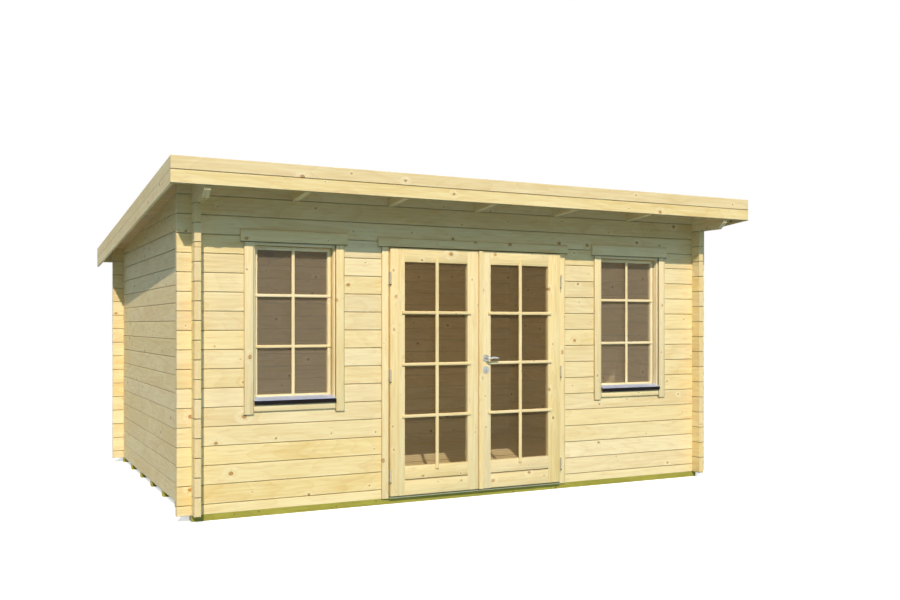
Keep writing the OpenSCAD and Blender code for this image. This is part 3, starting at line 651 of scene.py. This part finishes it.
def window_trims(side):
    """Side boards that pass the board under the sill, and a top board that passes them."""
    low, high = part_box(f"window_trim_{side}")
    piece = Piece()
    x0, x1 = low.x + TRIM_OVER, high.x - TRIM_OVER
    top = high.z - TRIM_TOP
    # joints paint shade along the trims' long edges, darkest under the top trim
    left = slab((x0, low.y, low.z), (x0 + TRIM_W, high.y, top - FIT), TRIM_WEAR)
    piece.add(left, "z", joints=(0.3, 0.3))
    right = slab((x1 - TRIM_W, low.y, low.z), (x1, high.y, top - FIT), TRIM_WEAR)
    piece.add(right, "z", joints=(0.6, 0.3))
    piece.add(slab((low.x, low.y, top), high, TRIM_WEAR), "x", joints=(0.9, 0.3))
    under = low.z + TRIM_FOOT
    between = x0 + TRIM_W + FIT, x1 - TRIM_W - FIT
    piece.add(slab((between[0], low.y, under), (between[1], high.y, under + UNDER_TRIM), TRIM_WEAR), "x")
    piece.finish(f"window_trim_boards_{side}", "house", "trim_wood", [trim_wood], [f"window_trim_{side}"])


SILL_LIP = 0.029          # height of the sill's front lip


def window_sill(side):
    """Pale sheet that narrows where it enters the frame, and a dark lip along its front."""
    low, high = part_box(f"window_sill_{side}")
    sash_low, sash_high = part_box(f"window_sash_{side}")
    piece = Piece()
    front = low.z + SILL_LIP

    def sheet(x0, x1, y0, y1):
        tops = [front + (high.z - front) * (y - low.y) / (high.y - low.y) for y in (y0, y1)]
        outline = [(y1, tops[1]), (y0, tops[0]), (y0, tops[0] - SILL_T), (y1, tops[1] - SILL_T)]
        piece.add(prism(outline, "x", x0, x1), "x", 0)

    sheet(low.x, high.x, low.y, wall_front - FIT)
    sheet(sash_low.x, sash_high.x, wall_front - FIT, high.y)
    lip = rounded((front + low.z) / 2, SILL_LIP / 2, low.y, low.y + 0.006, 0.12)
    piece.add(prism([(p[1], p[0]) for p in lip], "x", low.x, high.x), "x", 1)
    piece.finish(f"window_sill_sheet_{side}", "house", "sill_metal", [sill_sheet, sill_lip],
                 [f"window_sill_{side}"])


# ---- Doorway and leaves ----

DOOR_TRIM_W = 0.058       # width of the doorway's side trims
DOOR_TRIM_H = 0.072       # height of its top trim
DOOR_TRIM_OVER = 0.028    # reach of the top trim past the side trims
JAMB_T = 0.028            # thickness of the frame beside the leaves
STOP_W = 0.015            # width of the stop behind them
HEAD_WEAR = 0.001         # wear on the edges of the frame's head
LEAF_GAP = 0.0055         # gap between a leaf and the frame
DOOR_LEVEL = 0.0255       # width of a door's level bars
DOOR_UPRIGHT = 0.028      # width of its upright bar
DOOR_LAP = 0.025          # how far they reach over the leaf
DOOR_FOOT_LAP = 0.030     # how far the upright bar reaches over the bottom rail
DOOR_PROUD = 0.013        # how far they stand in front of the leaf
DOOR_BARS = (0.6225, 1.0195, 1.4165)    # middles of the level bars above the joists
COVER_BEVEL = 0.0046      # bevel on the strip that covers the gap between the leaves
LOW_BOARD = 0.116         # height of the lower board of the bottom rail
STILE_EDGE = 0.002        # wear on the edges of a leaf's boards


def doorway():
    """Boards of the rebated frame and of its trims."""
    low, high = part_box("door_frame")
    leaf_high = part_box("door_leaf_left")[1]
    stop_y = leaf_high.y + LEAF_GAP
    half = high.x - JAMB_T
    piece = Piece()
    narrow = half - STOP_W
    for sign in (-1, 1):
        outline = [(sign * high.x, low.y), (sign * half, low.y), (sign * half, stop_y),
                   (sign * narrow, stop_y), (sign * narrow, high.y), (sign * high.x, high.y)]
        piece.add(prism(outline, "z", low.z, high.z), "z")
    top = leaf_high.z + LEAF_GAP
    piece.add(slab((-half + FIT, low.y, top), (half - FIT, stop_y - FIT, high.z), HEAD_WEAR), "x")
    piece.add(slab((-narrow + FIT, stop_y, top - STOP_W), (narrow - FIT, high.y, high.z), HEAD_WEAR), "x")
    piece.finish("door_frame_boards", "house", "joinery_wood", [joinery], ["door_frame"])

    low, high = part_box("door_trim")
    piece = Piece()
    outer = high.x - DOOR_TRIM_OVER
    top = high.z - DOOR_TRIM_H
    for sign in (-1, 1):
        x0, x1 = sorted((sign * outer, sign * (outer - DOOR_TRIM_W)))
        piece.add(slab((x0, low.y, low.z), (x1, high.y, top - FIT), TRIM_WEAR), "z", joints=(0.3, 0.3))
    piece.add(slab((low.x, low.y, top), high, TRIM_WEAR), "x", joints=(0.8, 0.3))
    piece.finish("door_trim_boards", "house", "trim_wood", [trim_wood], ["door_trim"])


def door_leaf(side, body):
    """Stiles, rails and the glazing bars on the outer face."""
    low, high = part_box(f"door_leaf_{side}")
    pane_low, pane_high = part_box(f"door_glass_{side}")
    x0, x1 = pane_low.x + GLASS_GRIP, pane_high.x - GLASS_GRIP
    z0, z1 = pane_low.z + GLASS_GRIP, pane_high.z - GLASS_GRIP
    middle = (x0 + x1) / 2
    piece = Piece()
    for a, b in ((low.x, x0), (x1, high.x)):
        piece.add(slab((a, low.y, low.z), (b, high.y, high.z), STILE_EDGE), "z")
    joint = low.z + LOW_BOARD
    for a, b, joints in ((low.z, joint, (0, 0.8)), (joint, z0, (0.8, 0)), (z1, high.z, (0, 0))):
        piece.add(slab((x0, low.y, a), (x1, high.y, b), STILE_EDGE), "x", joints=joints)
    proud = low.y - DOOR_PROUD
    for z in DOOR_BARS:
        level_bar(piece, x0 - DOOR_LAP, x1 + DOOR_LAP, joist_top + z, DOOR_LEVEL / 2, proud, low.y)
    upright_bar(piece, middle, z0 - DOOR_FOOT_LAP, z1 + DOOR_LAP, DOOR_UPRIGHT / 2, proud - CROSS,
                low.y - CROSS)
    piece.finish(f"door_boards_{side}", body, "door_wood", [door_wood], [f"door_leaf_{side}"])


def cover_strip():
    """The bevelled strip that covers the gap between the leaves."""
    low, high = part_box("door_cover_strip")
    x0, x1, bevel = low.x, high.x, COVER_BEVEL
    piece = Piece()
    outline = [(x0, high.y), (x0, low.y + bevel), (x0 + bevel, low.y), (x1 - bevel, low.y),
               (x1, low.y + bevel), (x1, high.y)]
    piece.add(prism(outline, "z", low.z, high.z), "z")
    piece.finish("door_cover_board", "door_right", "door_wood", [door_wood], ["door_cover_strip"])


# ---- Hinges, lever and lock ----

TIP_SHARE = 0.85          # radius of a hinge's tip, as a share of the knuckle's
TIP_L = 0.004             # length of the tip's straight part


def hinge_tips(side):
    """Rounded tips under the hinges, dark as painted shade under the knuckles, and domed caps on top of them.
    """
    low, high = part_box(f"hinge_pins_{side}")
    leaf_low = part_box(f"door_leaf_{side}")[0].z
    x = (low.x + high.x) / 2
    y = low.y + KNUCKLE_R
    r = KNUCKLE_R * TIP_SHARE
    arc = [math.pi / 2 * i / 5 for i in range(6)]
    dome = [(r * math.cos(t) if i < 5 else 0, r * math.sin(t)) for i, t in enumerate(arc)]
    bottoms = Piece()
    tops = Piece()
    top_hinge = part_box(f"hinge_knuckles_{side}")[1].z - HINGE_H
    for base in (low.z, leaf_low + HINGE_MID - HINGE_H / 2, top_hinge):
        flip = Matrix.Translation((x, y, base)) @ Matrix.Rotation(math.pi, 4, "X")
        bottoms.add(lathe([(0, 0), (r, 0)] + [(p[0], p[1] + TIP_L) for p in dome]), "z", 0, flip)
        tops.add(lathe([(0, 0)] + dome), "z", 0, Matrix.Translation((x, y, base + HINGE_H)))
    # the bottom tips take dark steel as painted shade under the knuckles; the caps take the hinges' own steel
    bottoms.finish(f"hinge_tips_{side}", "house", "steel", [dark_steel_and_painted_shade])
    tops.finish(f"hinge_caps_{side}", f"door_{side}", "steel", [hinge_steel])


PACKED_ROSE_R = 0.026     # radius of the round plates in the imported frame
ROSE_R = 0.029            # and as they show
ROSE_T = 0.008
LEVER_REACH = 0.050       # how far the grip stands in front of the door
LEVER_L = 0.093           # length of the grip from the plate's middle
LEVER_NECK = 0.0105       # radius of the neck
LEVER_TIP = 0.0075        # half the height of the grip's end
LEVER_FLAT = 0.8          # how deep the grip is for its height
LEVER_RISE = 0.004        # how far the grip arches
NECK_BEND = 0.016         # radius of the bend
LOCK_DROP = 0.093         # from the lever down to the lock
LOCK_R = 0.0085
LOCK_PROUD = 0.0018       # how far the lock stands in front of its plate
LOCK_BEVEL = 0.0008
LOCK_FOOT = 0.015         # how far the lock's foot reaches below its middle
LOCK_FOOT_W = 0.0038      # half the width of that foot
FOOT_WEAR = 0.0006
# size of the dark slab painted on the barrel as the keyhole's shade
KEYHOLE_SHADE = (0.0011, 0.0052)    # half its width and half its height


def facing(x, y, z, out):
    """Takes what stands on z = 0 to a place on a door's face that looks to out, -1 or 1 along y."""
    return Matrix.Translation((x, y, z)) @ Matrix.Rotation(-out * math.pi / 2, 4, "X")


def rose_profile(hole):
    """Round plate with a bevelled rim, a groove and a raised inner ring."""
    return [(hole, 0), (ROSE_R, 0), (ROSE_R, ROSE_T * 0.45), (ROSE_R - 0.0015, ROSE_T * 0.8),
            (ROSE_R - 0.004, ROSE_T * 0.9), (ROSE_R * 0.62, ROSE_T * 0.9), (ROSE_R * 0.60, ROSE_T * 0.68),
            (ROSE_R * 0.54, ROSE_T * 0.68), (ROSE_R * 0.52, ROSE_T), (hole, ROSE_T), (hole, 0)]


def lever_stations(out):
    """Neck out of the plate, a round bend, and a grip that tapers and arches a little."""
    stations = []
    for i in range(4):
        reach = (LEVER_REACH - NECK_BEND) * i / 4
        stations.append((Vector((0, out * reach, 0)), LEVER_NECK, LEVER_NECK))
    for i in range(7):
        t = math.pi / 2 * i / 6
        x = NECK_BEND * (1 - math.cos(t))
        y = LEVER_REACH - NECK_BEND + NECK_BEND * math.sin(t)
        stations.append((Vector((x, out * y, 0)), LEVER_NECK, LEVER_NECK))
    steps = 14
    end = LEVER_L - LEVER_TIP
    for i in range(1, steps + 1):
        share = i / steps
        x = NECK_BEND + (end - NECK_BEND) * share
        rise = LEVER_RISE * math.sin(math.pi * share)
        tall = LEVER_NECK + (LEVER_TIP - LEVER_NECK) * share
        stations.append((Vector((x, out * LEVER_REACH, rise)), tall * LEVER_FLAT, tall))
    for i in range(1, 5):
        t = math.pi / 2 * i / 4.2
        tall = LEVER_TIP * math.cos(t)
        x = end + LEVER_TIP * math.sin(t)
        stations.append((Vector((x, out * LEVER_REACH, 0)), tall * LEVER_FLAT, tall))
    return stations


def door_furniture():
    """Round plates, lever and lock on both faces of the right leaf."""
    leaf_low, leaf_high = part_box("door_leaf_right")
    plates_low, plates_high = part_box("lock_plates")
    x = (plates_low.x + plates_high.x) / 2
    z = plates_high.z - PACKED_ROSE_R
    plates, lever, lock = Piece(), Piece(), Piece()
    for out, face in ((-1, leaf_low.y), (1, leaf_high.y)):
        plates.add(lathe(rose_profile(LEVER_NECK + FIT)), "z", 0, facing(x, face, z, out))
        plates.add(lathe(rose_profile(LOCK_R + FIT)), "z", 0, facing(x, face, z - LOCK_DROP, out))
        lever.add(sweep(lever_stations(out)), "x", 0, Matrix.Translation((x, face, z)))
        tip = ROSE_T + LOCK_PROUD
        place = facing(x, face, z - LOCK_DROP, out)
        barrel = [(0, 0), (LOCK_R, 0), (LOCK_R, tip - LOCK_BEVEL), (LOCK_R - LOCK_BEVEL, tip), (0, tip)]
        lock.add(lathe(barrel), "z", 0, place)
        foot_low, foot_high = sorted((0, out * LOCK_FOOT))
        foot = slab((-LOCK_FOOT_W, foot_low, ROSE_T * 0.5), (LOCK_FOOT_W, foot_high, tip - 0.001), FOOT_WEAR)
        lock.add(foot, "z", 1, place)
        # the keyhole is a thin dark slab on the barrel: painted shade standing for the hole
        wide, tall = KEYHOLE_SHADE
        lock.add(slab((-wide, -tall, tip - 0.0004), (wide, tall, tip + 0.0002), 0), "z", 1, place)
    plates.finish("lock_roses", "door_right", "steel", [steel], ["lock_plates"])
    lever.finish("door_lever_bar", "lever", "steel", [steel], ["door_lever"])
    lock.finish("lock_barrel", "door_right", "steel", [steel, dark_steel_and_painted_shade], ["lock_cylinder"])


# ---- Floor and roof ----

FLOOR_BOARD = 0.112       # width of a floor board
ROOF_BOARD = 0.096        # width of a roof board
V_DEPTH = 0.003           # depth of the V joint between roof boards


def floor_boards():
    """Boards along the front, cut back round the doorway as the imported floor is."""
    low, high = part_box("floor")
    door_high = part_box("door_frame")[1]
    notch = door_high.y + FIT
    half = door_high.x + 2 * FIT
    piece = Piece()

    def row(x0, x1, y0, y1):
        top = high.z
        outline = [(y0, low.z), (y1, low.z), (y1, top - V_DEPTH / 2), (y1 - V_DEPTH / 2, top),
                   (y0 + V_DEPTH / 2, top), (y0, top - V_DEPTH / 2)]
        piece.add(prism(outline, "x", x0, x1), "x", joints=(0.9, 0.9))

    row(low.x, -half, low.y, notch)
    row(half, high.x, low.y, notch)
    count = round((high.y - notch) / FLOOR_BOARD)
    width = (high.y - notch) / count
    for i in range(count):
        row(low.x, high.x, notch + i * width + FIT, notch + (i + 1) * width - FIT)
    piece.finish("floor_planks", "house", "floor_wood", [floor_wood], ["floor"])


def roof_planks():
    """Boards along the front with V joints below, on the rafters' slope."""
    low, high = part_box("roof_boards")
    piece = Piece()
    count = round((high.y - low.y) / ROOF_BOARD)
    width = (high.y - low.y) / count
    thick = high.z - low.z - SLOPE * (high.y - low.y)

    def under(y):
        return high.z - thick - SLOPE * (y - low.y)

    for i in range(count):
        y0 = low.y + i * width + (FIT if i else 0)
        y1 = low.y + (i + 1) * width - (FIT if i < count - 1 else 0)
        outline = [(y0 + V_DEPTH, under(y0 + V_DEPTH)), (y1 - V_DEPTH, under(y1 - V_DEPTH)),
                   (y1, under(y1) + V_DEPTH), (y1, under(y1) + thick), (y0, under(y0) + thick),
                   (y0, under(y0) + V_DEPTH)]
        piece.add(prism(outline, "x", low.x, high.x), "x")
    piece.finish("roof_planks", "house", "roof_board_wood", [roof_wood_shaded], ["roof_boards"])


FELT_STRIP = 1.0          # width of a strip of felt
NAIL_PITCH = 0.1
NAIL_R = 0.0045
NAIL_IN = 0.03            # from the strip's upper edge to its nails


def felt_strips():
    """Strips of felt along the front, each over the one below it, and their nails."""
    low, high = felt_low, felt_high
    piece = Piece()
    nails = Piece()

    def deck(y):
        return high.z - FELT_T - SLOPE * (y - low.y)

    edge = high.y
    while edge > low.y + 0.01:
        far = max(edge - FELT_STRIP, low.y)
        lift = FELT_T * (1.0 if edge == high.y else 2.0)
        outline = [(far, deck(far)), (edge, deck(edge)), (edge, deck(edge) + lift), (far, deck(far) + FELT_T)]
        piece.add(prism(outline, "x", low.x, high.x), "x")
        y = edge - NAIL_IN
        count = round((high.x - low.x) / NAIL_PITCH)
        for i in range(1, count):
            x = low.x + (high.x - low.x) * i / count + rng.uniform(-0.008, 0.008)
            top = deck(y) + FELT_T + (lift - FELT_T) * (y - far) / (edge - far)
            head = lathe([(NAIL_R, -0.001), (NAIL_R, 0.0006), (NAIL_R * 0.6, 0.0011), (0, 0.0012)], 8)
            nails.add(head, "z", 0, Matrix.Translation((x, y, top)))
        edge = far
    piece.finish("felt_strips", "house", "roofing_felt", [felt_top], ["roofing_felt"])
    nails.finish("felt_nails", "house", "steel", [dark_steel_and_painted_shade])


# ---- Stage ----

SUN_FROM = Vector((-0.291, -0.7206, 0.629))
SUN = 3.23
SUN_WIDE = 0.6            # degrees
SUN_COLOUR = (1.0, 0.884, 0.76)
SOFT_FROM = (0.34, -0.94, 0.0)          # where the soft light in front comes from
SOFT_COLOUR = (0.60, 0.89, 1.10, 1.0)
BACK_FROM = (0.15, 0.99, 0.0)           # and where the one behind comes from
BACK_COLOUR = (0.46, 0.50, 0.50, 1.0)
SKY_COLOUR = (0.10, 0.13, 0.145, 1.0)    # faint light from all round
CAMERA_AT = (-3.626, -8.358, 1.367)
CAMERA_TURN = 26.77       # degrees to the right of +Y
CAMERA_LENS = 38.13
CAMERA_SHIFT = 0.0278
FLOOR_GIVES = srgb(124, 155, 175)       # colour that the floor gives to what stands on it
FLOOR_GLOW = 0.6          # keeps the sunlit floor white where the camera sees it


def seen_rays(s):
    """1 where the camera sees a surface, also in metal or through glass, and 0 where it only gives light."""
    ray = s.node("ShaderNodeLightPath").outputs
    onward = s.math("MAXIMUM", ray["Is Glossy Ray"], ray["Is Transmission Ray"])
    return s.math("MAXIMUM", ray["Is Camera Ray"], onward)


def stage_floor():
    """Pale floor that the camera sees as white where the sun falls, and that keeps the shadow."""
    mesh = bpy.data.meshes.new("stage_floor")
    bm = slab((-60, -60, -0.02), (60, 60, 0), 0)
    bm.to_mesh(mesh)
    bm.free()
    obj = bpy.data.objects.new("stage_floor", mesh)
    bpy.context.scene.collection.objects.link(obj)
    s = Shader("stage_floor")
    place = s.node("ShaderNodeTexCoord").outputs["Object"]
    seen = seen_rays(s)
    pale = s.mix(s.noise(place, 0.8, 3.0), srgb(226, 226, 222), srgb(232, 232, 230))
    tone = s.mix(seen, FLOOR_GIVES, pale)
    diffuse = s.node("ShaderNodeBsdfDiffuse", {"Color": tone})
    glow = s.node("ShaderNodeEmission", {"Color": (1, 1, 1, 1), "Strength": s.times(seen, FLOOR_GLOW)})
    both = s.node("ShaderNodeAddShader", {0: diffuse.outputs[0], 1: glow.outputs[0]})
    s.node("ShaderNodeOutputMaterial", {0: both.outputs[0]})
    mesh.materials.append(s.material)


def lights():
    """The sun, a faint sky and two soft patches in it; the camera sees the world as white."""
    sun = bpy.data.lights.new("sun", "SUN")
    sun.energy = SUN
    sun.angle = math.radians(SUN_WIDE)
    sun.color = SUN_COLOUR
    lamp = bpy.data.objects.new("sun", sun)
    lamp.rotation_euler = SUN_FROM.to_track_quat("Z", "Y").to_euler()
    bpy.context.scene.collection.objects.link(lamp)

    world = bpy.data.worlds.new("world")
    bpy.context.scene.world = world
    s = Shader("world", world)
    way = s.node("ShaderNodeTexCoord").outputs["Generated"]
    height = s.split(way)[2]
    band = s.times(s.fade(height, 0.12, 0.25), s.fade(height, 0.75, 0.5))
    tone = SKY_COLOUR
    for source, colour in ((SOFT_FROM, SOFT_COLOUR), (BACK_FROM, BACK_COLOUR)):
        near = s.node("ShaderNodeVectorMath", {0: way, 1: source}, operation="DOT_PRODUCT").outputs["Value"]
        tone = s.mix(s.times(s.fade(near, 0.3, 0.75), band), tone, colour)
    soft = s.node("ShaderNodeBackground", {"Color": tone})
    white = s.node("ShaderNodeBackground", {"Color": (1, 1, 1, 1)})
    both = s.node("ShaderNodeMixShader", {0: seen_rays(s), 1: soft.outputs[0], 2: white.outputs[0]})
    s.node("ShaderNodeOutputWorld", {0: both.outputs[0]})


def camera():
    """The photo's view: level, with a small shift upwards."""
    data = bpy.data.cameras.new("camera")
    data.lens = CAMERA_LENS
    data.sensor_width = 36.0
    data.shift_y = CAMERA_SHIFT
    obj = bpy.data.objects.new("camera", data)
    obj.location = CAMERA_AT
    obj.rotation_euler = (math.radians(90), 0, -math.radians(CAMERA_TURN))
    bpy.context.scene.collection.objects.link(obj)
    bpy.context.scene.camera = obj
    bpy.context.scene.view_settings.view_transform = "Standard"


camera()
lights()
stage_floor()
dress_frame()
for side in ("left", "right"):
    window(side)
    door_leaf(side, f"door_{side}")
    hinge_tips(side)
doorway()
cover_strip()
door_furniture()
floor_boards()
roof_planks()
felt_strips()
